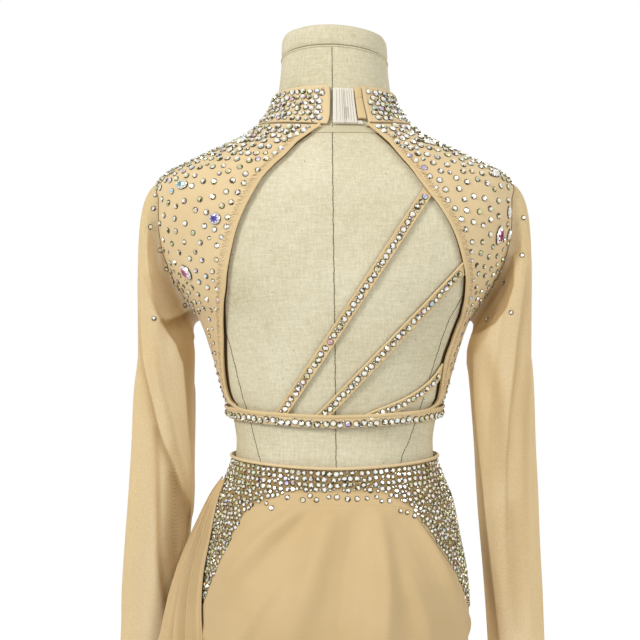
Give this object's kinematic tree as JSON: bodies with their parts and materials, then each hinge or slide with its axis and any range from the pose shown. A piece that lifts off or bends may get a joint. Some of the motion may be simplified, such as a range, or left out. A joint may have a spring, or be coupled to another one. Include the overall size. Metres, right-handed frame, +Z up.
{
  "type": "lyrical dance costume on a dress form",
  "caption": "Two-piece lyrical dance costume with stand collar, open strapped back, sheer long sleeves and slit skirt with a side drape, on a limbless dress form.",
  "frame": {"origin": "centre of the stand base's underside, on the floor", "axes": "+Z up; the costume's back faces -Y and its front +Y; +X is the wearer's right"},
  "size_m": [0.5114, 0.4004, 1.5069],
  "materials": {
    "nude_cloth": "matte nylon spandex, nude",
    "skirt_cloth": "soft matte crepe jersey, light caramel",
    "sleeve_mesh": "sheer stretch mesh",
    "elastic": "satin fold-over elastic",
    "clear_plastic": "clear moulded swimwear clasp",
    "crystal": "foiled flat-back sew-on stone",
    "linen": "unbleached linen over a padded form",
    "steel": "brushed tube",
    "iron": "black powder coat"
  },
  "bodies": {
    "root": {"form_torso": "linen", "form_neck_cap": "linen", "stand_pole": "steel", "stand_base": "iron", "yoke_back_left": "nude_cloth", "yoke_back_right": "nude_cloth", "bodice_front": "nude_cloth", "collar": "nude_cloth", "collar_tab": "elastic", "clasp_loop": "clear_plastic", "clasp_hook": "clear_plastic", "binding_left": "elastic", "binding_right": "elastic", "strap_upper": "nude_cloth", "strap_middle": "nude_cloth", "strap_lower": "nude_cloth", "under_band": "nude_cloth", "waist_piping": "elastic", "hip_yoke_back": "nude_cloth", "hip_yoke_front": "nude_cloth", "skirt_back": "skirt_cloth", "skirt_front": "skirt_cloth", "side_drape": "skirt_cloth", "sleeve_left": "sleeve_mesh", "sleeve_right": "sleeve_mesh", "stone_oval_left": "crystal", "stone_round_left": "crystal", "stone_pear_left": "crystal", "stone_navette_right": "crystal", "stone_marquise_right": "crystal", "stone_pear_right": "crystal"}
  },
  "joints": []
}
